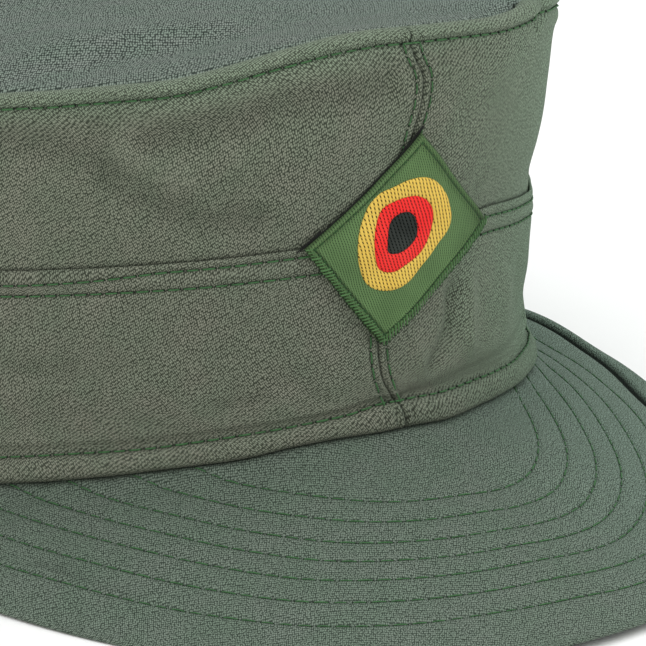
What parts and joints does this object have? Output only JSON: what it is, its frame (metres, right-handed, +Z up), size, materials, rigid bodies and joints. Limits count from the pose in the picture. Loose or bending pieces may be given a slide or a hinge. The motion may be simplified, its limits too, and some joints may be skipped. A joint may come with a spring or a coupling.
{
  "type": "field cap",
  "caption": "Olive cloth field cap: two-tier crown with an oval top, row-stitched peak and a green patch with a black, red and gold roundel.",
  "frame": {"origin": "centre of the cap's outline on the surface that it rests on", "axes": "+Z up, -Y where the peak points, +X the wearer's left"},
  "size_m": [0.1912, 0.2834, 0.1042],
  "materials": {
    "crown_top_cloth": "matt crepe weave",
    "upper_cloth": "matt crepe weave",
    "lower_cloth": "matt crepe weave",
    "peak_cloth": "matt crepe weave over a soft stiffener",
    "badge_green": "woven ribbon",
    "badge_gold": "woven ribbon",
    "badge_red": "woven ribbon",
    "badge_black": "woven ribbon"
  },
  "bodies": {
    "root": {"crown_top": "crown_top_cloth", "upper_panel_left": "upper_cloth", "upper_panel_right": "upper_cloth", "lower_panel_left": "lower_cloth", "lower_panel_right": "lower_cloth", "peak": "peak_cloth", "badge_ground": "badge_green", "badge_gold_ring": "badge_gold", "badge_red_ring": "badge_red", "badge_black_centre": "badge_black"}
  },
  "joints": []
}
